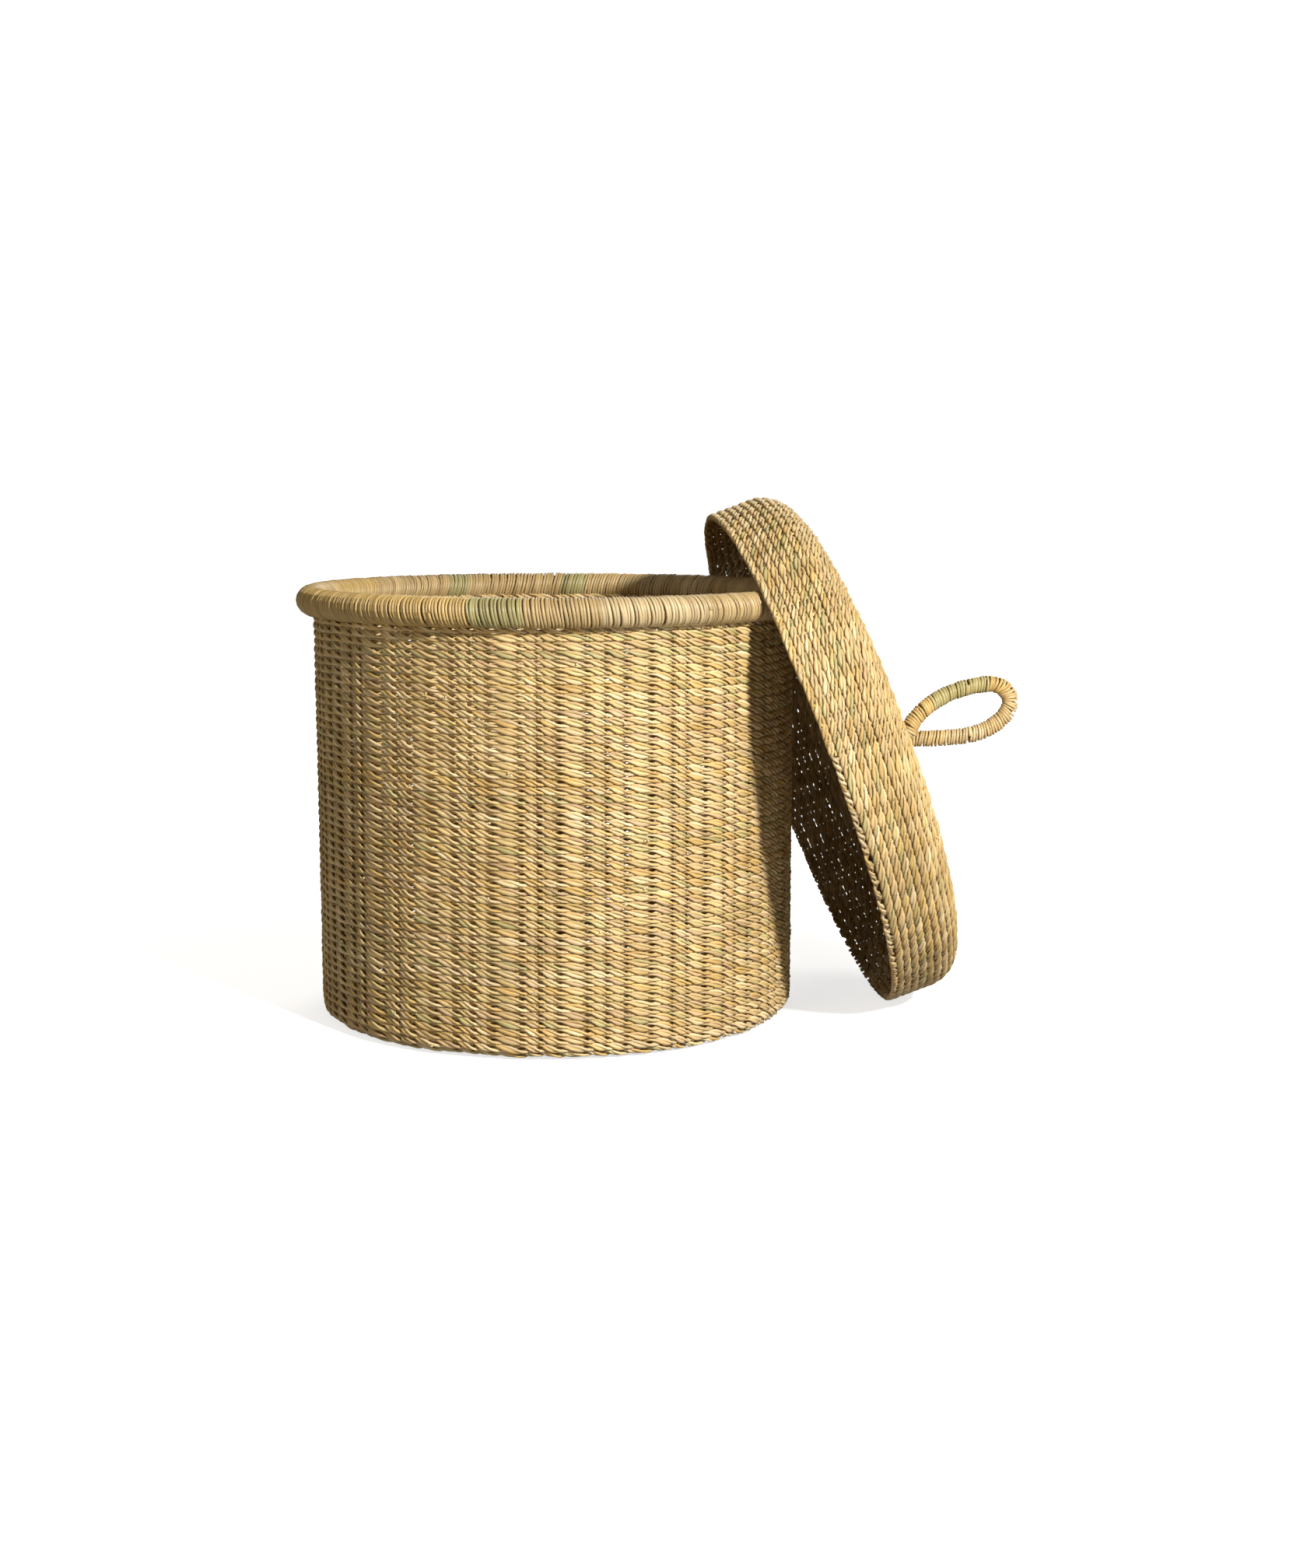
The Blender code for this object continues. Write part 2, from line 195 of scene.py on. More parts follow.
def tube_object(name, rings, tint, grain, material, body, replaced=()):
    """One mesh of closed tubes. rings has the shape (tubes, stations, sides, 3)."""
    tubes, stations, sides = rings.shape[:3]
    index = np.arange(tubes * stations * sides).reshape(tubes, stations, sides)
    ahead = np.roll(index, -1, axis=2)
    quads = np.stack([index[:, :-1], ahead[:, :-1], ahead[:, 1:], index[:, 1:]], -1)
    corners = quads.reshape(-1)
    first_caps = index[:, 0, ::-1].reshape(-1)
    last_caps = index[:, -1].reshape(-1)
    loops = np.concatenate([corners, first_caps, last_caps]).astype(np.int32)
    quad_count = len(corners) // 4
    starts = np.concatenate([
        np.arange(quad_count) * 4,
        quad_count * 4 + np.arange(2 * tubes) * sides]).astype(np.int32)
    if inside_out(rings):
        loops = flip_faces(loops, quad_count, sides)
    mesh = bpy.data.meshes.new(name)
    mesh.vertices.add(index.size)
    mesh.vertices.foreach_set("co", rings.astype(np.float32).ravel())
    mesh.loops.add(len(loops))
    mesh.loops.foreach_set("vertex_index", loops)
    mesh.polygons.add(len(starts))
    mesh.polygons.foreach_set("loop_start", starts)
    mesh.update(calc_edges=True)
    mesh.polygons.foreach_set("use_smooth", np.arange(len(starts)) < quad_count)
    shape = (tubes, stations, sides)
    colours = np.ones(shape + (4,), np.float32)
    colours[..., :3] = tint
    mesh.attributes.new("straw_tint", "FLOAT_COLOR", "POINT").data.foreach_set(
        "color", colours.ravel())
    mesh.attributes.new("straw_grain", "FLOAT_VECTOR", "POINT").data.foreach_set(
        "vector", np.broadcast_to(grain, shape + (3,)).astype(np.float32).ravel())
    mesh.materials.append(material)
    piece = bpy.data.objects.new(name, mesh)
    add_to_scene(piece)
    if body:
        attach(piece, body)
    if replaced:
        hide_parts(*replaced)
    return piece


def inside_out(rings):
    """True if the tubes' sides, as wound, face inwards."""
    middle = rings.mean(axis=2)
    heading = middle[:, 1:] - middle[:, :-1]
    spoke = rings[:, :-1] - middle[:, :-1, None]
    turn = np.cross(spoke, np.roll(spoke, -1, axis=2))
    return float((turn.sum(axis=2) * heading).sum()) < 0.0


def flip_faces(loops, quad_count, sides):
    quads = loops[:quad_count * 4].reshape(-1, 4)[:, ::-1]
    caps = loops[quad_count * 4:].reshape(-1, sides)[:, ::-1]
    return np.concatenate([quads.ravel(), caps.ravel()])


def section_angles(sides):
    """Angles round a straw, with one corner on its crown."""
    return TAU * np.arange(sides) / sides + math.pi / 2


def grain_of(length, angles, salt):
    """Coordinates that run along each straw, for its fibres."""
    shape = np.broadcast(length[..., None], angles).shape
    return np.stack([np.broadcast_to(length[..., None], shape) + salt,
                     np.broadcast_to(np.cos(angles), shape),
                     np.broadcast_to(np.sin(angles), shape)], -1)


# ---------------------------------------------------------------- twining

class Runs:
    """The lengths of straw in a surface: each strand's two straws change colour in runs."""

    def __init__(self, seed, stitches):
        self.random = np.random.default_rng(int(seed))
        self.table = {}
        for strand in (0, 1):
            for straw in (0, 1):
                self.table[strand, straw] = self.lay(stitches)

    def lay(self, stitches):
        kinds = np.zeros(stitches, int)
        ends = []
        place = 0
        while place < stitches:
            size = int(self.random.integers(*RUN_STITCHES))
            kinds[place:place + size] = self.random.choice(len(COLOURS), p=SHARES)
            place += size
            ends.append(place)
        return kinds, ends

    def tint(self, strand, straw, stitch):
        kinds, _ = self.table[strand, straw]
        kind = kinds[np.clip(stitch, 0, len(kinds) - 1)]
        shade = 1.0 + 0.13 * scatter(stitch, 3.1 + strand + 2 * straw)
        warm = 1.0 + 0.05 * scatter(stitch, 9.4 + strand + 2 * straw)
        colour = COLOURS[kind] * shade[..., None]
        colour[..., 2] *= warm
        return colour


class Twining:
    """Rows that spiral along a surface round its stakes."""

    def __init__(self, surface, bands, depth, seed, body, bumpiness, crossing_swell, slant,
                 tone):
        self.surface = surface
        self.bands = bands
        self.depth = depth
        self.body = body
        self.seed = seed
        self.bumpiness = bumpiness
        self.crossing_swell = crossing_swell
        self.slant = slant
        self.tone = tone
        self.last_turn = surface.length / PITCH
        phases = [0.0]
        for (turn, stakes), (turn_after, _) in zip(bands, bands[1:]):
            phases.append(phases[-1] + math.pi * stakes * (turn_after - turn))
        self.phases = phases
        total = phases[-1] + math.pi * bands[-1][1] * (self.last_turn - bands[-1][0])
        self.runs = Runs(seed, int(total / TAU) + 3)

    def stake_shift(self, theta, stakes):
        """How far the stakes stand from even spacing, as an angle."""
        spacing = TAU / stakes
        shift = np.zeros_like(theta)
        for number in (3, 5, 9, 14, 22, 31):
            if number < stakes / 2:
                shift += np.sin(number * theta) * scatter(number, self.seed) * spacing
        return STAKE_JITTER * shift

    def stakes_at(self, turn):
        """The stake count at a turn, with where its band starts and the phase there."""
        chosen = max(index for index, band in enumerate(self.bands) if band[0] <= turn + 1e-6)
        return self.bands[chosen][1], self.bands[chosen][0], self.phases[chosen]

    def phase(self, turn, first_turn):
        stakes, from_turn, from_phase = self.stakes_at(first_turn)
        theta = TAU * turn
        return (from_phase + math.pi * stakes * (turn - from_turn)
                + stakes / 2 * self.stake_shift(theta, stakes))

    def bulge(self, theta, along):
        """Unevenness of the wall: upright ridges and slow swells."""
        ridges = ripple(theta, along, (11, 17, 23, 29, 36), self.seed + 0.3, 3.0)
        swell = ripple(theta, along, (2, 3, 5), self.seed + 0.9, 9.0)
        return self.bumpiness * (0.45 * ridges + 0.55 * swell)

    def row_drift(self, theta, along):
        return 0.45 * MM * ripple(theta, along, (2, 5, 9, 13), self.seed + 2.2, 40.0)

    def band(self, name, first, last, rings_per_stake, material, replaced):
        """One piece: the rows from one turn to another."""
        stakes = self.stakes_at(first)[0]
        steps = max(8, round((last - first) * stakes * rings_per_stake))
        turn = np.linspace(first, last, steps + 1)
        theta = TAU * turn
        phase = self.phase(turn, first)
        along = PITCH * turn + self.row_drift(theta, PITCH * turn)
        bulge = self.bulge(theta, along)
        radius, _ = self.surface.reach(along)
        origin, tangent, normal = self.surface.frame_at(along, theta, bulge)
        period = TAU * radius / stakes
        slim = np.clip(period / FULL_WIDTH_STITCH, SLIMMEST, 1.0)
        angles = section_angles(STRAW_SIDES)
        hand = math.copysign(1.0, self.slant)
        length = np.concatenate([[0.0], np.cumsum(np.hypot(*np.diff(
            np.stack([origin[:, 0], origin[:, 1]]), axis=1)))])
        rings = []
        tints = []
        grains = []
        for strand in (0, 1):
            turned_phase = phase + strand * math.pi
            stitch = np.floor((turned_phase + math.pi) / TAU).astype(int)
            place = turned_phase / TAU - stitch

            def eased(salt):
                share = 0.5 * smoothstep(0.2, 0.5, np.abs(place))
                beside = stitch + np.sign(place).astype(int)
                return (scatter(stitch, salt) * (1 - share) + scatter(beside, salt) * share)

            salt = self.seed + 10.0 * strand
            lagged = np.cos(turned_phase - STRAND_LAG)
            height = self.depth * np.sign(lagged) * np.abs(lagged) ** CREST_FLATNESS
            height = height + 0.5 * STITCH_JITTER * eased(salt + 1)
            slide = (-self.slant * (1 + 0.2 * eased(salt + 2)) * np.sin(turned_phase)
                     + STITCH_JITTER * eased(salt + 3))
            facing = turned_phase - OUTWARD_HOLD * np.sin(2 * turned_phase)
            across = np.stack([-hand * np.cos(facing), -np.sin(facing)], -1)
            outward = np.stack([-hand * np.sin(facing), np.cos(facing)], -1)
            squeeze = np.sin(turned_phase) ** 2
            for straw, half_width in ((0, MAIN_HALF_WIDTH), (1, THIN_HALF_WIDTH)):
                side = 1 if straw == 0 else -1
                vary = eased(salt + 4 + 3 * straw)
                width = half_width * (1 + 0.16 * vary) * slim * (1 - CROSSING_NARROWING * squeeze)
                thick = (STRAW_HALF_DEPTH * (1 + 0.12 * eased(salt + 5 + 3 * straw))
                         * (1 + self.crossing_swell * squeeze))
                apart = side * PAIR_OFFSET * (1 - CROSSING_GATHER * squeeze) * slim
                apart = apart * (1 + 0.10 * eased(salt + 6))
                lift = STRAW_LIFT * eased(salt + 7 + 3 * straw)
                centre = (np.stack([slide, height], -1) + across * apart[:, None]
                          + outward * lift[:, None])
                ring = (centre[:, None] + width[:, None, None] * np.cos(angles)[:, None]
                        * across[:, None] + thick[:, None, None] * np.sin(angles)[:, None]
                        * outward[:, None])
                rings.append(origin[:, None] + tangent[:, None] * ring[..., :1]
                             + normal[:, None] * ring[..., 1:])
                colour = self.runs.tint(strand, straw, stitch) * self.tone
                tints.append(np.broadcast_to(colour[:, None], (len(turn), STRAW_SIDES, 3)))
                start = 7.3 * strand + 3.9 * straw
                grains.append(grain_of(length * GRAIN_PER_METRE + start, angles, first))
        rings = set_at(self.surface.place, np.array(rings))
        return tube_object(name, rings, np.array(tints), np.array(grains), material,
                           self.body, replaced)

    def bands_between(self, label, first, last, turns_each, rings_per_stake, material, replaced):
        """Pieces of a few turns each, cut also where the number of stakes changes."""
        cuts = [first]
        changes = [turn for turn, _ in self.bands if first < turn < last]
        while cuts[-1] < last - 1e-6:
            after = min([last, cuts[-1] + turns_each]
                        + [turn for turn in changes if turn > cuts[-1] + 1e-6])
            cuts.append(last if last - after < turns_each * 0.3 else after)
        for number, (low, high) in enumerate(zip(cuts, cuts[1:]), 1):
            self.band(f"{label}_{number}", low, high, rings_per_stake, material, replaced)

    def stake_angles(self, stakes):
        """Where the stakes stand, once their shift is taken in."""
        fine = np.linspace(0.0, TAU, 4001)
        shifted = fine + self.stake_shift(fine, stakes)
        return np.interp(TAU * np.arange(stakes) / stakes, shifted, fine)

    def stake_tubes(self, name, first, last, stakes, only_new, size, material, replaced):
        """Slender stakes from one length along the profile to another.

        Where the stakes double, only_new leaves out the ones that were there before.
        """
        half_width, half_depth = size
        theta = self.stake_angles(stakes)
        if only_new:
            theta = theta[1::2]
        stations = max(6, round((last - first) / (7 * MM)))
        along = np.linspace(first, last, stations + 1)
        angles = section_angles(STRAW_SIDES)
        rings = []
        tints = []
        for number, angle in enumerate(theta):
            wander = angle + STAKE_WANDER_ANGLE * ripple(0.0, along, (3, 7), self.seed + number,
                                                         25.0)
            point, _, normal = self.surface.frame_at(along, wander, self.bulge(wander, along))
            sideways = np.stack([-np.sin(wander), np.cos(wander), np.zeros_like(wander)], -1)
            rings.append(point[:, None]
                         + half_width * np.cos(angles)[:, None] * sideways[:, None]
                         + half_depth * np.sin(angles)[:, None] * normal[:, None])
            shade = 1.0 + 0.15 * scatter(number, self.seed + 5)
            tints.append(np.broadcast_to(CREAM * shade, (stations + 1, STRAW_SIDES, 3)))
        grain = grain_of(along * GRAIN_PER_METRE, angles, 1.0)
        rings = set_at(self.surface.place, np.array(rings))
        return tube_object(name, rings, np.array(tints), grain[None], material,
                           self.body, replaced)

    def splice_ends(self, name, first, last, share, material):
        """Cut ends of straw that stick out where a new length starts."""
        random = np.random.default_rng(int(self.seed) + 77)
        angles = section_angles(STRAW_SIDES)
        rings = []
        tints = []
        for (strand, straw), (_, ends) in self.runs.table.items():
            for end in ends:
                turn = self.turn_of(end * TAU - strand * math.pi + 0.75)
                if not first < turn < last or random.random() > share:
                    continue
                for stub in range(int(random.integers(2, 4))):
                    ring, colour = self.stub(turn, stub, random, angles)
                    rings.append(ring)
                    tints.append(colour)
        rings = set_at(self.surface.place, np.array(rings))
        grain = grain_of(np.arange(rings.shape[1]) * 0.3, angles, 4.0)
        tint = np.array(tints)[:, None, None]
        return tube_object(name, rings, tint, grain[None], material, self.body)

    def turn_of(self, phase):
        index = max(i for i, start in enumerate(self.phases) if start <= phase or i == 0)
        turn, stakes = self.bands[index]
        return turn + (phase - self.phases[index]) / (math.pi * stakes)

    def stub(self, turn, number, random, angles):
        """One short cut end, from within the weave to a few millimetres proud of it."""
        theta = np.array([TAU * turn])
        along = PITCH * turn + random.uniform(-1, 1) * 1.2 * MM
        point, tangent, normal = self.surface.frame_at(
            np.array([along]), theta, self.bulge(theta, np.array([along])))
        sideways = np.array([[-math.sin(theta[0]), math.cos(theta[0]), 0.0]])
        lean = random.uniform(-0.5, 0.9) * tangent + random.uniform(0.1, 0.8) * sideways
        aim = unit(normal + lean)
        base = point + normal * (self.depth - 0.3 * MM) + sideways * (number - 1) * 1.6 * MM
        side = unit(np.cross(aim, tangent))
        up = np.cross(aim, side)
        reach = random.uniform(1.8, 3.4) * MM
        size = random.uniform(0.7, 1.15) * MM
        ring = []
        for part, swell in ((0.0, 0.9), (0.55, 1.0), (1.0, 0.94)):
            middle = base + aim * reach * part
            ring.append(middle + size * swell * (np.cos(angles)[:, None] * side
                                                 + 0.7 * np.sin(angles)[:, None] * up))
        return np.array(ring), CREAM * random.uniform(0.85, 1.12)


# ---------------------------------------------------------------- windings

def winding(name, centre_line, sideways, upward, tube_radius, turns, colours_at, seed, material,
            body, slot, replaced, half_width, half_depth=0.62 * MM, per_turn=16, slant=0.25,
            tone=WINDING_PAINTED_SHADE_TONE):
    """A flat straw wound in a helix along a tube.

    centre_line, sideways and upward give points and directions for parts 0 to 1.
    tube_radius is to the winding's outside, and slant leans each turn, in half widths.
    """
    steps = int(turns * per_turn)
    wrap = np.arange(steps + 1) / per_turn
    angle = TAU * wrap
    tilt = slant * (1 + 0.25 * scatter(np.round(wrap), seed)) * np.sin(angle)
    nudge = WRAP_NUDGE * half_width * ease_whole(wrap, seed + 1)
    part = np.clip(wrap / turns, 0.0, 1.0)
    middle = centre_line(part)
    side = sideways(part)
    up = upward(part)
    forward = np.cross(side, up)
    spoke = np.cos(angle)[:, None] * side + np.sin(angle)[:, None] * up
    wide = half_width * (1 + WRAP_WIDTH_VARIATION * ease_whole(wrap, seed + 2))
    rise = WRAP_RISE * ease_whole(wrap, seed + 3)
    depth = half_depth * (1 + WRAP_DEPTH_VARIATION * ease_whole(wrap, seed + 4))
    crown = tube_radius - half_depth + rise
    along = (nudge + tilt * half_width)[:, None] * forward
    ring_angles = section_angles(STRAW_SIDES)
    ring = (middle[:, None] + along[:, None] + spoke[:, None] * crown[:, None, None]
            + wide[:, None, None] * np.cos(ring_angles)[:, None] * forward[:, None]
            + depth[:, None, None] * np.sin(ring_angles)[:, None] * spoke[:, None])
    whole = np.floor(wrap + 0.25)
    shade = 1 + WRAP_SHADE_VARIATION * scatter(whole, seed + 5)
    # tone darkens the tint; its default is painted shade.
    tint = colours_at(np.clip(whole / turns, 0.0, 1.0)) * shade[:, None] * tone
    grain = grain_of(wrap * 2.2, ring_angles, seed)
    return tube_object(name, ring[None], tint[None, :, None], grain[None], material,
                       body, replaced)


def ease_whole(value, salt):
    """Noise that eases from one whole number to the next."""
    low = np.floor(value)
    share = smoothstep(0.0, 1.0, value - low)
    return scatter(low, salt) * (1 - share) + scatter(low + 1, salt) * share


# ---------------------------------------------------------------- materials

class Nodes:
    """A material's or world's shader nodes, with the few kinds that are used here."""

    def __init__(self, owner):
        owner.use_nodes = True
        self.nodes = owner.node_tree.nodes
        self.link = owner.node_tree.links.new

    def noise(self, vector, scale, detail):
        node = self.nodes.new("ShaderNodeTexNoise")
        node.inputs["Scale"].default_value = scale
        node.inputs["Detail"].default_value = detail
        self.link(vector, node.inputs["Vector"])
        return node

    def ramp(self, factor, low, low_colour, high, high_colour):
        node = self.nodes.new("ShaderNodeValToRGB")
        for element, place, colour in zip(node.color_ramp.elements, (low, high),
                                          (low_colour, high_colour)):
            element.position = place
            element.color = (*colour, 1.0)
        self.link(factor, node.inputs["Fac"])
        return node.outputs["Color"]

    def multiply(self, factor, first, second):
        node = self.nodes.new("ShaderNodeMix")
        node.data_type = "RGBA"
        node.blend_type = "MULTIPLY"
        node.inputs["Factor"].default_value = factor
        self.link(first, node.inputs["A"])
        self.link(second, node.inputs["B"])
        return node.outputs["Result"]

    def map_range(self, value, low, high):
        node = self.nodes.new("ShaderNodeMapRange")
        node.inputs["To Min"].default_value = low
        node.inputs["To Max"].default_value = high
        self.link(value, node.inputs["Value"])
        return node

    def by_camera(self, others, camera, output):
        """One shader for what the camera sees directly, and one for all other rays."""
        rays = self.nodes.new("ShaderNodeLightPath")
        either = self.nodes.new("ShaderNodeMixShader")
        self.link(rays.outputs["Is Camera Ray"], either.inputs["Fac"])
        self.link(others, either.inputs[1])
        self.link(camera, either.inputs[2])
        self.link(either.outputs["Shader"], self.nodes[output].inputs["Surface"])


def straw_material(name, roughness, fibre, bump, mottling):
    """Dried grass: fine fibres along each straw, uneven tone and a satin gloss."""
    material = bpy.data.materials.new(name)
    tree = Nodes(material)
    shader = tree.nodes["Principled BSDF"]
    tint = tree.nodes.new("ShaderNodeAttribute")
    tint.attribute_name = "straw_tint"
    grain = tree.nodes.new("ShaderNodeAttribute")
    grain.attribute_name = "straw_grain"

    stretch = tree.nodes.new("ShaderNodeMapping")
    stretch.inputs["Scale"].default_value = (0.16, 1.0, 1.0)
    tree.link(grain.outputs["Vector"], stretch.inputs["Vector"])
    fibres = tree.noise(stretch.outputs["Vector"], fibre, 4.0)
    fibres.inputs["Roughness"].default_value = 0.62
    fibre_tone = tree.ramp(fibres.outputs["Fac"], 0.30, (0.66, 0.58, 0.46),
                           0.62, (1.06, 1.06, 1.08))
    streaked = tree.multiply(0.75, tint.outputs["Color"], fibre_tone)

    place = tree.nodes.new("ShaderNodeTexCoord")
    patches = tree.noise(place.outputs["Object"], 34.0, 3.0)
    patch_tone = tree.ramp(patches.outputs["Fac"], 0.32, (0.80, 0.74, 0.66),
                           0.66, (1.05, 1.06, 1.10))
    aged = tree.multiply(mottling, streaked, patch_tone)
    tree.link(aged, shader.inputs["Base Color"])

    gloss = tree.map_range(fibres.outputs["Fac"], roughness - 0.10, roughness + 0.16)
    tree.link(gloss.outputs["Result"], shader.inputs["Roughness"])
    shader.inputs["Specular IOR Level"].default_value = 0.42

    relief = tree.nodes.new("ShaderNodeBump")
    relief.inputs["Strength"].default_value = bump
    relief.inputs["Distance"].default_value = 0.4 * MM
    tree.link(fibres.outputs["Fac"], relief.inputs["Height"])
    tree.link(relief.outputs["Normal"], shader.inputs["Normal"])
    return material


def core_material(name):
    """The bundled grass inside the hoop and the handle, in its own colour."""
    material = bpy.data.materials.new(name)
    tree = Nodes(material)
    shader = tree.nodes["Principled BSDF"]
    place = tree.nodes.new("ShaderNodeTexCoord")
    strands = tree.noise(place.outputs["Object"], 260.0, 3.0)
    tone = tree.ramp(strands.outputs["Fac"], 0.0, (0.20, 0.12, 0.045), 1.0, (0.52, 0.35, 0.15))
    tree.link(tone, shader.inputs["Base Color"])
    shader.inputs["Roughness"].default_value = 0.62
    return material


# ---------------------------------------------------------------- the object's parts

def lid_place():
    """The lid's own frame: +Z is its axis and the origin is the middle of its open side."""
    flex = next(joint for joint in frame["joints"] if joint["name"] == "handle_flex")
    across = Vector(flex["axis"])
    axis = Vector((across.z, 0.0, -across.x))
    sideways = Vector((0.0, 1.0, 0.0))
    first = sideways.cross(axis)
    place = Matrix((first, sideways, axis)).transposed().to_4x4()
    place.translation = Vector(flex["pos_m"]) - axis * FLEX_HEIGHT
    return place


# The basket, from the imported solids' outer sizes.
WALL_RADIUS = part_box("basket_wall_weave")[1].x
WALL_DEPTH = 2.0 * MM
WALL_STAKES = 72
WALL_STAKE_SIZE = (2.1 * MM, 0.8 * MM)
BASE_STAKE_SIZE = (1.4 * MM, 0.8 * MM)
BASE_MIDDLE = WALL_DEPTH + STRAW_HALF_DEPTH + 1.9 * MM
RIM_TUBE_RADIUS = 13.3 * MM
RIM_RING_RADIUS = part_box("rim_wrap_1")[1].x - RIM_TUBE_RADIUS
RIM_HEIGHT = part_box("rim_wrap_1")[1].z - RIM_TUBE_RADIUS
RIM_PIECES = 6
RIM_TURNS = 80

# The lid, with heights from its open side.
LID_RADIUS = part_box("lid_skirt_weave")[1].y
LID_HEIGHT = 74 * MM
LID_SHOULDER = 31 * MM
LID_DOME = 22 * MM
DOME_TOP = LID_HEIGHT + LID_DOME
FLEX_HEIGHT = DOME_TOP + 1.5 * MM
LID_DEPTH = 1.45 * MM
LID_STAKES = 88
LID_STAKE_SIZE = (1.9 * MM, 0.6 * MM)
SHOULDER_PROUD = 0.8 * MM
BORDER_HEIGHT = 7 * MM
BORDER_RING_RADIUS = LID_RADIUS - 3.1 * MM
CURL_RADIUS = 2.3 * MM
CURL_STATIONS = 9
EDGE_MARGIN = 3.5 * MM

# The handle's centre line from the dome's top: along the lid's axis, across it and aside.
HANDLE_RADIUS = 7.6 * MM
HANDLE_WRAP_WIDTH = 2.8 * MM
HANDLE_STATIONS = 400
HANDLE_ROUTE = (
    (0.0135, -0.0205, 0.0080), (0.0225, -0.0232, 0.0066), (0.0330, -0.0268, 0.0048),
    (0.0500, -0.0320, 0.0025), (0.0708, -0.0368, 0.0), (0.0900, -0.0378, 0.0),
    (0.1079, -0.0331, 0.0), (0.1195, -0.0232, 0.0), (0.1205, -0.0100, 0.0),
    (0.1120, 0.0005, 0.0), (0.0938, 0.0061, 0.0), (0.0696, 0.0080, 0.0),
    (0.0480, 0.0054, -0.0025), (0.0320, 0.0000, -0.0052), (0.0205, -0.0072, -0.0070),
    (0.0140, -0.0140, -0.0080),
)
HANDLE_ROOT_LENGTH = 27 * MM
HANDLE_ROOT_ROUTE = ((-0.0060, -0.0005, 0.0042), (0.0050, -0.0085, 0.0062))
TAILS_FOOT = 74.5 * MM


def basket_surface():
    """Middle of the woven skin, from the base's centre out and up to the rim."""
    radius = WALL_RADIUS - WALL_DEPTH - STRAW_HALF_DEPTH
    low = BASE_MIDDLE
    bend = 9.0 * MM
    points = [(0.0, low)]
    points += arc_points((radius - bend, low + bend), bend, -90, 0)
    points.append((radius, RIM_HEIGHT - EDGE_MARGIN))
    return Surface(points, 1, Matrix.Identity(4))


def lid_surface():
    """Middle of the lid's skin, from the dome's centre out and down to its open side."""
    inset = LID_DEPTH + STRAW_HALF_DEPTH
    flat = LID_RADIUS - LID_SHOULDER
    points = [(flat * part, LID_HEIGHT - inset + LID_DOME * (1 - part ** 2))
              for part in np.linspace(0.0, 1.0, 12)]
    points += arc_points((flat, LID_HEIGHT - LID_SHOULDER),
                         LID_SHOULDER - inset + SHOULDER_PROUD, 84, 6)
    points.append((LID_RADIUS - inset, BORDER_HEIGHT - EDGE_MARGIN))
    return Surface(points, -1, lid_place())


def build_basket(straw):
    """Base and wall rows, stakes and splices."""
    surface = basket_surface()
    # Each band starts at a turn and has its number of stakes.
    bands = [(1, 5), (2, 9), (6, 18), (10, 36), (20, WALL_STAKES)]
    weave = Twining(surface, bands, WALL_DEPTH, 4.0, "basket", bumpiness=1.1 * MM,
                    crossing_swell=0.12, slant=WALL_SLANT, tone=1.0)
    base_turns = math.floor(surface.length_at[1] / PITCH)
    weave.bands_between("base_twining", 1, base_turns, 6, 5, straw, ("basket_base_weave",))
    weave.bands_between("wall_twining", base_turns, weave.last_turn, 3, 6, straw,
                        ("basket_wall_weave",))
    wall_start = base_turns * PITCH
    weave.stake_tubes("wall_stakes", wall_start, surface.length, WALL_STAKES, False,
                      WALL_STAKE_SIZE, straw, ("basket_stakes",))
    weave.stake_tubes("base_stakes", 6 * MM, wall_start, bands[1][1], False,
                      (1.5 * MM, 0.8 * MM), straw, ("basket_stakes",))
    for first_turn, count in bands[2:]:
        weave.stake_tubes(f"base_stakes_{count}", first_turn * PITCH, wall_start, count, True,
                          BASE_STAKE_SIZE, straw, ("basket_stakes",))
    weave.splice_ends("wall_splice_ends", base_turns + 1.5, weave.last_turn - 1.5, 0.20, straw)


def build_lid(straw):
    """Top, shoulder and skirt rows, stakes and splices."""
    surface = lid_surface()
    bands = [(1.6, 11), (4, 22), (8, 44), (16, LID_STAKES)]
    # tone=0.90 paints the lid's straw darker than the basket's: painted shade where the key light
    # falls more fully on the lid.
    weave = Twining(surface, bands, LID_DEPTH, 9.0, "lid", bumpiness=0.6 * MM,
                    crossing_swell=0.44, slant=LID_SLANT, tone=0.90)
    shoulder_turn = math.floor((LID_RADIUS - LID_SHOULDER) / PITCH)
    skirt_turn = weave.last_turn - (LID_HEIGHT - LID_SHOULDER - BORDER_HEIGHT) / PITCH
    weave.bands_between("lid_top_twining", 1.6, shoulder_turn, 5, 5, straw, ("lid_top_weave",))
    weave.bands_between("lid_shoulder_twining", shoulder_turn, skirt_turn, 4, 6, straw,
                        ("lid_shoulder_weave",))
    weave.bands_between("lid_skirt_twining", skirt_turn, weave.last_turn, 4, 6, straw,
                        ("lid_skirt_weave",))
    weave.stake_tubes("lid_stakes_11", 10 * MM, surface.length, 11, False, LID_STAKE_SIZE,
                      straw, ("lid_stakes",))
    for first_turn, count in bands[1:]:
        weave.stake_tubes(f"lid_stakes_{count}", first_turn * PITCH, surface.length, count,
                          True, LID_STAKE_SIZE, straw, ("lid_stakes",))
    weave.splice_ends("lid_splice_ends", 4, weave.last_turn - 1.0, 0.14, straw)


# The hoop's winding changes colour at these angles, anticlockwise from +X.
RIM_COLOURS = (
    (0, "tan"), (40, "cream"), (62, "tan"), (78, "green"), (84, "tan"), (110, "green"),
    (116, "tan"), (140, "gold"), (160, "tan"), (190, "gold"), (248, "green"), (260, "tan"),
    (276, "cream"), (300, "tan"), (325, "straw"), (345, "tan"),
)


# The loop's winding changes colour at these parts of its length.
HANDLE_COLOURS = (
    (0.0, "tan"), (0.22, "cream"), (0.34, "tan"), (0.52, "gold"), (0.585, "green"),
    (0.79, "gold"), (0.90, "tan"),
)


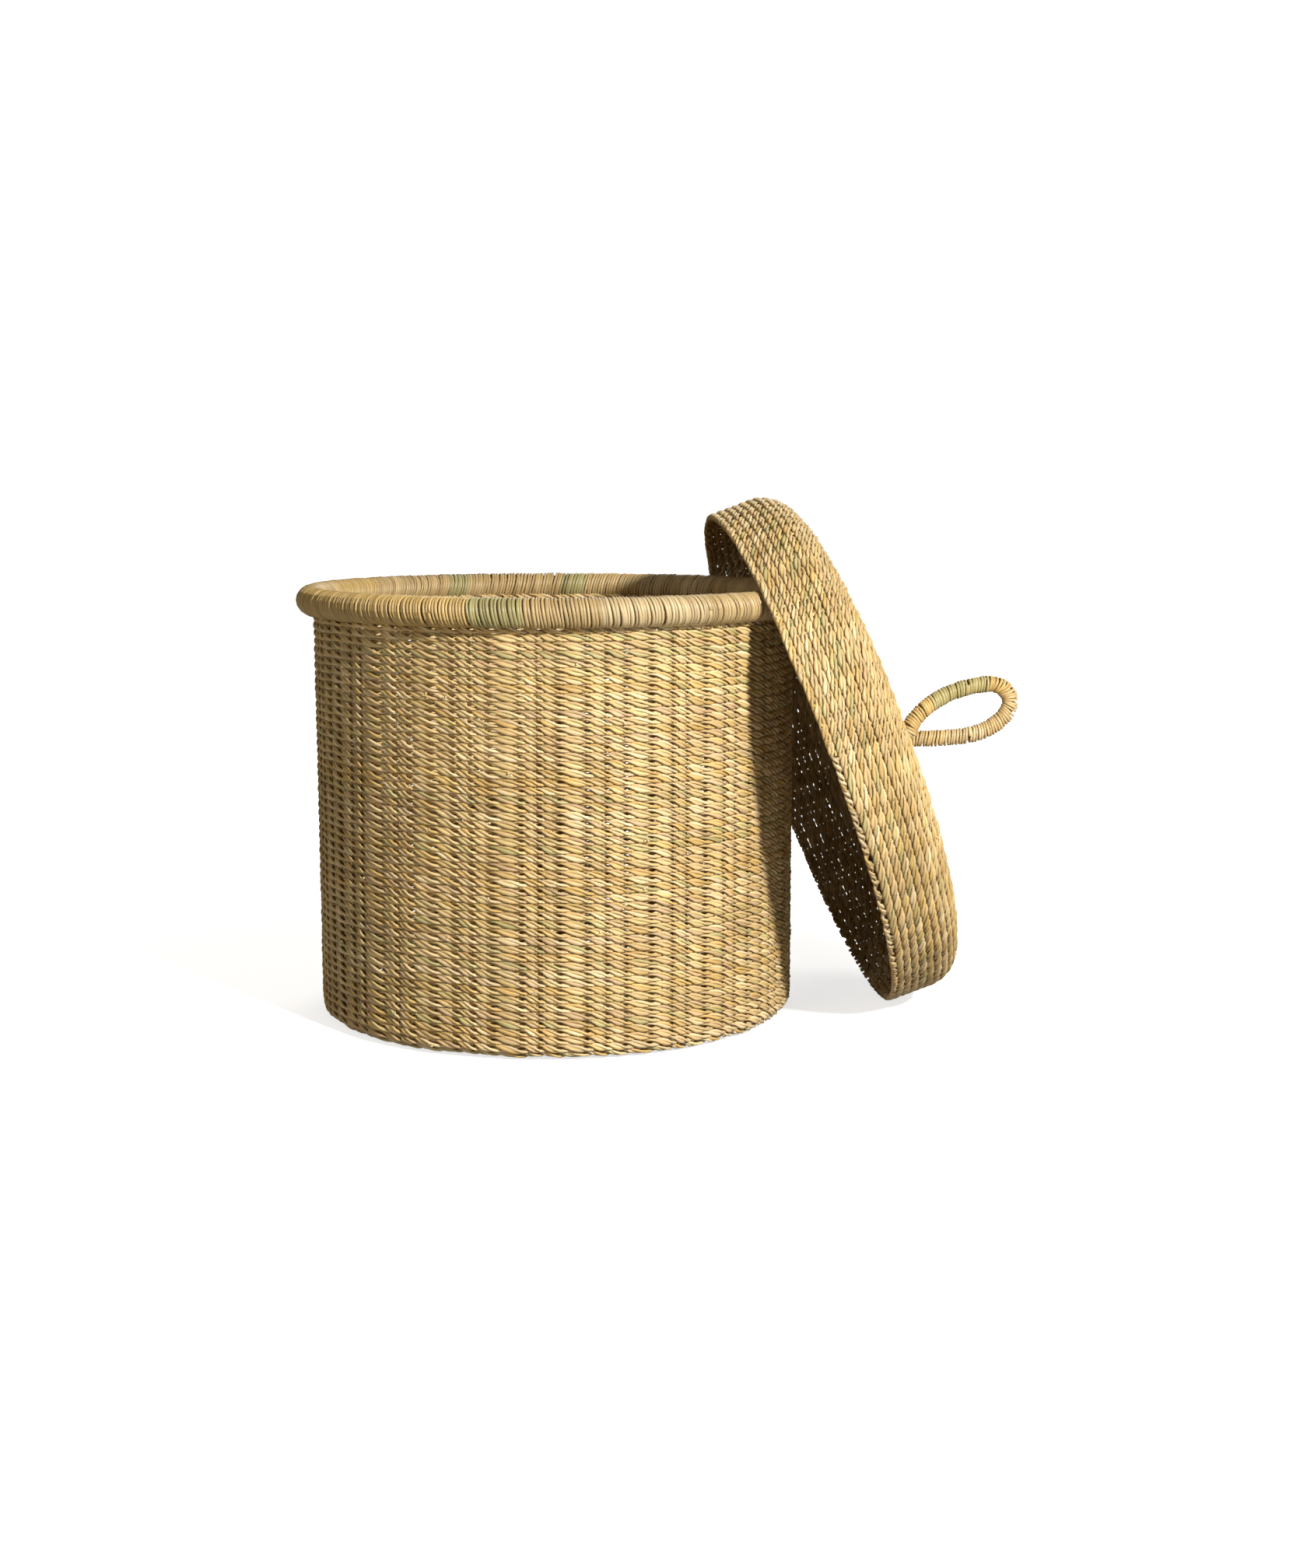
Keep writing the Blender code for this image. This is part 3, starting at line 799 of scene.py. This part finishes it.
def colours_of(design, place):
    """The colours of a design, given as (where it starts, name), at some places along it."""
    starts = np.array([start for start, _ in design])
    kinds = np.array([COLOUR_NAMES.index(name) for _, name in design])
    return COLOURS[kinds[np.searchsorted(starts, place, side="right") - 1]]


def gold(part):
    return np.broadcast_to(GOLD, (len(part), 3))


def ring_route(radius, height, place, first=0.0, span=TAU, waver=0.0):
    """A round route: functions of the part along it, from 0 to 1, for winding()."""
    turned = np.array(place)[:3, :3].T

    def middle(part):
        angle = first + span * part
        reach = radius + 0.3 * MM * waver * ripple(angle, 0.0, (17, 31, 43), 5.0)
        level = height + 0.25 * MM * waver * ripple(angle, 0.0, (19, 37), 6.0)
        return set_at(place, np.stack([reach * np.cos(angle), reach * np.sin(angle), level], -1))

    def outward(part):
        angle = first + span * part
        return np.stack([np.cos(angle), np.sin(angle), 0 * angle], -1) @ turned

    def upward(part):
        return np.broadcast_to([0.0, 0.0, 1.0], (len(part), 3)) @ turned

    return middle, outward, upward


def build_rim(straw):
    """The hoop's winding, in one piece for each length of the design."""
    span = TAU / RIM_PIECES
    crown_radius = RIM_RING_RADIUS + 0.4 * RIM_TUBE_RADIUS
    half_width = span * crown_radius / RIM_TURNS / 2 * 0.98
    for number in range(RIM_PIECES):
        first = span * number

        def colours(part, first=first):
            return colours_of(RIM_COLOURS, np.degrees(first + span * part) % 360)

        route = ring_route(RIM_RING_RADIUS, RIM_HEIGHT, Matrix.Identity(4), first, span)
        winding(f"rim_winding_{number + 1}", *route, RIM_TUBE_RADIUS, RIM_TURNS, colours,
                20.0 + number, straw, "basket", "tan_straw", (f"rim_wrap_{number + 1}",),
                half_width, half_depth=1.5 * MM, slant=1.7)


def build_lid_border(straw, place):
    """The rolled edge: two strands wound round the open side."""
    for strand in range(2):

        def colours(part, strand=strand):
            kinds = np.floor(1.4995 + 1.4995 * scatter(np.floor(part * 22), 31.0 + strand))
            return COLOURS[kinds.astype(int)]

        route = ring_route(BORDER_RING_RADIUS, BORDER_HEIGHT / 2, place,
                           first=TAU * strand / 256, waver=1.0)
        winding(f"lid_border_strand_{strand + 1}", *route, 2.9 * MM, 96, colours,
                40.0 + strand, straw, "lid", "tan_straw", ("lid_edge_border",), 2.3 * MM,
                half_depth=1.15 * MM, per_turn=12, slant=0.5)


def build_border_curls(straw, place):
    """The stakes' ends: pairs of straws bent over the lid's edge and tucked in beside it."""
    random = np.random.default_rng(17)
    angles = section_angles(STRAW_SIDES)
    spacing = TAU / LID_STAKES
    rings = []
    tints = []
    for stake in range(LID_STAKES):
        # The curls take the wound straw's darker tone, which is painted shade.
        colour = COLOURS[random.choice(3)] * WINDING_PAINTED_SHADE_TONE
        tilt = random.uniform(0.35, 0.85)
        for straw_number in range(2):
            shift = CURL_RADIUS / LID_RADIUS * straw_number
            bend = np.radians(np.linspace(random.uniform(185, 215), random.uniform(-30, 20),
                                          CURL_STATIONS))
            angle = (spacing * (stake + tilt * np.linspace(0.0, 1.0, CURL_STATIONS))
                     + shift + random.uniform(-0.5, 0.5) * MM / LID_RADIUS)
            size = random.uniform(1.0, 1.25) * MM
            ring_out = np.stack([np.cos(angle), np.sin(angle), 0 * angle], -1)
            middle = (ring_out * BORDER_RING_RADIUS
                      + np.array([0.0, 0.0, BORDER_HEIGHT / 2 + 0.3 * MM]))
            spoke = np.cos(bend)[:, None] * ring_out - np.sin(bend)[:, None] * np.array([0, 0, 1])
            curl = middle + spoke * CURL_RADIUS
            beside = unit(np.cross(unit(np.gradient(curl, axis=0)), spoke))
            ring = (curl[:, None] + size * np.cos(angles)[:, None] * beside[:, None]
                    + 0.85 * size * np.sin(angles)[:, None] * spoke[:, None])
            rings.append(set_at(place, ring))
            tints.append(colour * random.uniform(0.9, 1.15))
    grain = grain_of(np.arange(CURL_STATIONS) * 0.5, angles, 3.0)
    return tube_object("lid_border_curls", np.array(rings), np.array(tints)[:, None, None],
                       grain[None], straw, "lid", ("lid_edge_border",))


def build_tails(straw, place):
    """The handle's tails: a bundle of straws through the hole, down to the knot in the lid."""
    angles = section_angles(STRAW_SIDES)
    station = np.arange(8)
    heights = np.linspace(TAILS_FOOT, DOME_TOP + 3.4 * MM, 8)
    section = 1.9 * MM * np.stack([np.cos(angles), np.sin(angles), 0 * angles], -1)
    rings = []
    for layer, count in enumerate((1, 6, 12)):
        for place_in_layer in range(count):
            number = len(rings)
            turn = TAU * place_in_layer / count + 0.03 * station
            reach = 3.5 * MM * layer * (1 + 0.05 * np.sin(station * 2.0 + number))
            middle = np.stack([reach * np.cos(turn), reach * np.sin(turn), heights], -1)
            rings.append(set_at(place, middle[:, None] + section))
    shades = 0.8 + 0.12 * scatter(np.arange(len(rings)), 12.0)
    tints = GOLD * shades[:, None]
    grain = grain_of(station * 0.6, angles, 6.0)
    return tube_object("handle_tails", np.array(rings), tints[:, None, None], grain[None],
                       straw, "lid", ("handle_collar",))


def build_start_knot(straw):
    """The small coil in the middle of the base, where the first strands start."""
    angles = section_angles(STRAW_SIDES)
    turn = np.linspace(0.0, 2.4, 60)
    reach = 1.2 * MM + 2.9 * MM * turn
    height = BASE_MIDDLE + 0.5 * MM * np.sin(turn * 9.0)
    ahead = np.stack([-np.sin(TAU * turn), np.cos(TAU * turn), 0 * turn], -1)
    spoke = np.stack([np.cos(TAU * turn), np.sin(TAU * turn), 0 * turn], -1)
    middle = spoke * reach[:, None] + np.array([0.0, 0.0, 1.0]) * height[:, None]
    up = np.cross(spoke, ahead)
    ring = (middle[:, None] + 1.7 * MM * np.cos(angles)[:, None] * spoke[:, None]
            + 1.9 * MM * np.sin(angles)[:, None] * up[:, None])
    grain = grain_of(turn * 4.0, angles, 2.0)
    return tube_object("base_start_knot", ring[None], GOLD[None, None, None] * 0.9,
                       grain[None], straw, "basket", ("basket_base_weave",))


def handle_line(place):
    """The handle's centre line as close points, with their lengths along it."""
    mirrored = [(along, across, -aside) for along, across, aside in HANDLE_ROOT_ROUTE]
    steps = [*HANDLE_ROOT_ROUTE, *HANDLE_ROUTE, *reversed(mirrored)]
    route = [place @ Vector((-across, aside, DOME_TOP + along))
             for along, across, aside in steps]
    spans = len(route) - 1
    padded = [2 * route[0] - route[1], *route, 2 * route[-1] - route[-2]]
    points = []
    for station in range(HANDLE_STATIONS + 1):
        place_on = spans * station / HANDLE_STATIONS
        span = min(int(place_on), spans - 1)
        t = place_on - span
        a, b, c, d = padded[span:span + 4]
        points.append(0.5 * (2 * b + (c - a) * t + (2 * a - 5 * b + 4 * c - d) * t ** 2
                             + (3 * b - a - 3 * c + d) * t ** 3))
    points = np.array(points)
    steps_between = np.linalg.norm(np.diff(points, axis=0), axis=1)
    return points, np.concatenate([[0.0], np.cumsum(steps_between)])


def build_handle(straw, place):
    """The loop's winding in three pieces, and its two roots, which are attached to no body."""
    points, lengths = handle_line(place)
    total = lengths[-1]
    heading = unit(np.gradient(points, lengths, axis=0))

    def wind(name, first, last, seed, body, replaced, radius):
        def read(part, values):
            length = (first + (last - first) * part) * total
            return np.stack([np.interp(length, lengths, values[:, k]) for k in range(3)], -1)

        def at(part):
            return read(part, points)

        def way(part):
            return unit(read(part, heading))

        def up(part):
            return unit(np.cross(way(part), [0.0, 1.0, 0.0]))

        def side(part):
            return np.cross(up(part), way(part))

        def colours(part):
            return colours_of(HANDLE_COLOURS, first + (last - first) * part)

        turns = (last - first) * total / HANDLE_WRAP_WIDTH
        return winding(name, at, side, up, radius, turns, colours, seed, straw, body,
                       "tan_straw", replaced, HANDLE_WRAP_WIDTH / 2, half_depth=1.3 * MM,
                       slant=1.5, tone=0.98)

    root = HANDLE_ROOT_LENGTH / total
    cuts = (root, 0.30, 0.66, 1 - root)
    for number, (first, last) in enumerate(zip(cuts, cuts[1:]), 1):
        wind(f"handle_winding_{number}", first, last, 60.0 + number, "handle",
             (f"handle_wrap_{number}",), HANDLE_RADIUS + 0.6 * MM)
    for number, (first, last) in enumerate(((0.0, root), (1 - root, 1.0)), 1):
        piece = wind(f"handle_root_{number}", first, last, 70.0 + number, None, (),
                     HANDLE_RADIUS * 0.96)
        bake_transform(piece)


def build_collar(straw, place):
    """Straw wound round the hole where the handle's tails go through."""
    route = ring_route(11.6 * MM, DOME_TOP - 0.6 * MM, place)
    winding("collar_winding", *route, 3.0 * MM, 26, gold, 81.0, straw, "lid", "gold_straw",
            ("handle_collar",), 1.5 * MM, half_depth=0.6 * MM, per_turn=12)


def build_knot(straw):
    """The knot of tails inside the lid: straw wound into a barrel."""
    low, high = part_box("handle_tail_knot")
    middle = np.array((low + high) / 2)
    half = (high.y - low.y) / 2 - 1.5 * MM
    radius = (high.z - low.z) / 2

    def at(part):
        place = 2 * part - 1
        return middle + np.stack([0 * part, half * place, 0 * part], -1)

    def side(part):
        return np.broadcast_to([1.0, 0.0, 0.0], (len(part), 3))

    def up(part):
        return np.broadcast_to([0.0, 0.0, 1.0], (len(part), 3))

    winding("tail_knot_winding", at, side, up, radius * 0.9, 11, gold, 91.0, straw, "lid_arm",
            "gold_straw", ("handle_tail_knot",), 1.9 * MM, half_depth=1.3 * MM, per_turn=20)


# ---------------------------------------------------------------- studio

# The camera stands in front and a little to the left, and looks slightly down.
CAMERA_PLACE = (-0.1353, -2.0690, 0.505)
CAMERA_HEADING = (0.1097, 0.9940)
CAMERA_PITCH = math.radians(8.07)
CAMERA_LENS = 50.55

# Lights: turns are from the camera's side of the object, anticlockwise, in degrees.
LIGHT_TARGET = (0.05, 0.0, 0.2)
KEY_TURN = 31.0
KEY_RISE = 28.0
KEY_DISTANCE = 3.0
KEY_SIZE = 0.22
KEY_POWER = 148.0
SOFT_TURN = 35.0
SOFT_HEIGHT = 1.0
SOFT_POWER = 12.0
BACK_PLACE = (0.9, 2.4, 1.9)
BACK_POWER = 24.0
SURROUND_STRENGTH = 0.17

# The floor glows less within the first reach of the middle than beyond the second.
FLOOR_REACH = 14.0
FLOOR_GLOW = 0.72
FLOOR_DIM_REACH = 0.45
FLOOR_WHITE_REACH = 1.6


def floor_material():
    """White paper to the camera, so that it has no horizon, and grey to all other rays."""
    material = bpy.data.materials.new("pale_floor")
    tree = Nodes(material)
    shader = tree.nodes["Principled BSDF"]
    shader.inputs["Base Color"].default_value = (0.90, 0.90, 0.90, 1.0)
    shader.inputs["Roughness"].default_value = 0.9
    shader.inputs["Specular IOR Level"].default_value = 0.1
    shader.inputs["Emission Color"].default_value = (1.0, 1.0, 1.0, 1.0)
    place = tree.nodes.new("ShaderNodeTexCoord")
    distance = tree.nodes.new("ShaderNodeVectorMath")
    distance.operation = "LENGTH"
    tree.link(place.outputs["Object"], distance.inputs[0])
    glow = tree.map_range(distance.outputs["Value"], FLOOR_GLOW, 1.0)
    glow.inputs["From Min"].default_value = FLOOR_DIM_REACH
    glow.inputs["From Max"].default_value = FLOOR_WHITE_REACH
    tree.link(glow.outputs["Result"], shader.inputs["Emission Strength"])
    bounce = tree.nodes.new("ShaderNodeBsdfDiffuse")
    bounce.inputs["Color"].default_value = (0.40, 0.40, 0.40, 1.0)
    tree.by_camera(bounce.outputs["BSDF"], shader.outputs["BSDF"], "Material Output")
    return material


def surround():
    """A dim warm fill for the object, and plain white for the camera."""
    world = bpy.data.worlds.new("surround")
    tree = Nodes(world)
    fill = tree.nodes["Background"]
    fill.inputs["Strength"].default_value = SURROUND_STRENGTH
    fill.inputs["Color"].default_value = (1.0, 0.90, 0.74, 1.0)
    seen = tree.nodes.new("ShaderNodeBackground")
    seen.inputs["Strength"].default_value = 1.1
    seen.inputs["Color"].default_value = (1.0, 1.0, 1.0, 1.0)
    tree.by_camera(fill.outputs["Background"], seen.outputs["Background"], "World Output")
    return world


def area_light(name, place, target, size, power, colour):
    data = bpy.data.lights.new(name, "AREA")
    data.shape = "RECTANGLE"
    data.size = size
    data.size_y = size
    data.energy = power
    data.color = colour
    light = bpy.data.objects.new(name, data)
    light.location = place
    light.rotation_euler = (Vector(target) - Vector(place)).to_track_quat("-Z", "Y").to_euler()
    add_to_scene(light)


def build_studio():
    """A pale floor, a key light to the right, weak wide ones left and behind, and a surround."""
    mesh = bpy.data.meshes.new("floor")
    reach = FLOOR_REACH
    mesh.from_pydata([(-reach, -reach, 0), (reach, -reach, 0), (reach, reach, 0),
                      (-reach, reach, 0)], [], [(0, 1, 2, 3)])
    mesh.materials.append(floor_material())
    floor = bpy.data.objects.new("floor", mesh)
    floor.location.z = -0.5 * MM
    add_to_scene(floor)
    bpy.context.scene.world = surround()

    look_angle = math.atan2(CAMERA_PLACE[1], CAMERA_PLACE[0])
    key_angle = look_angle + math.radians(KEY_TURN)
    rise = math.radians(KEY_RISE)
    target = LIGHT_TARGET
    place = (target[0] + KEY_DISTANCE * math.cos(rise) * math.cos(key_angle),
             target[1] + KEY_DISTANCE * math.cos(rise) * math.sin(key_angle),
             target[2] + KEY_DISTANCE * math.sin(rise))
    soft_angle = look_angle - math.radians(SOFT_TURN)
    soft_place = (target[0] + KEY_DISTANCE * math.cos(soft_angle),
                  target[1] + KEY_DISTANCE * math.sin(soft_angle), SOFT_HEIGHT)
    area_light("soft_front", soft_place, target, 1.2, SOFT_POWER, (1.0, 0.96, 0.88))
    area_light("soft_back", BACK_PLACE, target, 1.4, BACK_POWER, (1.0, 0.98, 0.95))
    area_light("key", place, target, KEY_SIZE, KEY_POWER, (1.0, 0.985, 0.96))


def build_camera():
    data = bpy.data.cameras.new("camera")
    data.lens = CAMERA_LENS
    data.sensor_width = 36.0
    data.clip_start = 0.05
    data.clip_end = 60.0
    camera = bpy.data.objects.new("camera", data)
    camera.location = CAMERA_PLACE
    level = math.cos(CAMERA_PITCH)
    heading = Vector((CAMERA_HEADING[0] * level, CAMERA_HEADING[1] * level,
                      -math.sin(CAMERA_PITCH)))
    camera.rotation_euler = heading.to_track_quat("-Z", "Y").to_euler()
    add_to_scene(camera)
    bpy.context.scene.camera = camera


def main():
    bpy.context.scene.view_settings.view_transform = "Standard"
    build_camera()
    build_studio()
    weave_straw = straw_material("twined_straw", 0.46, 2.6, 0.55, 0.8)
    wound_straw = straw_material("wound_straw", 0.38, 3.4, 0.7, 0.6)
    place = lid_place()
    build_basket(weave_straw)
    build_lid(weave_straw)
    build_lid_border(weave_straw, place)
    build_border_curls(weave_straw, place)
    build_tails(wound_straw, place)
    build_start_knot(weave_straw)
    build_rim(wound_straw)
    build_handle(wound_straw, place)
    build_collar(wound_straw, place)
    build_knot(wound_straw)
    core = core_material("grass_core")
    for name in ("rim_hoop", "handle_core"):
        node = frame["nodes"][name]
        node.data.materials.clear()
        node.data.materials.append(core)


main()
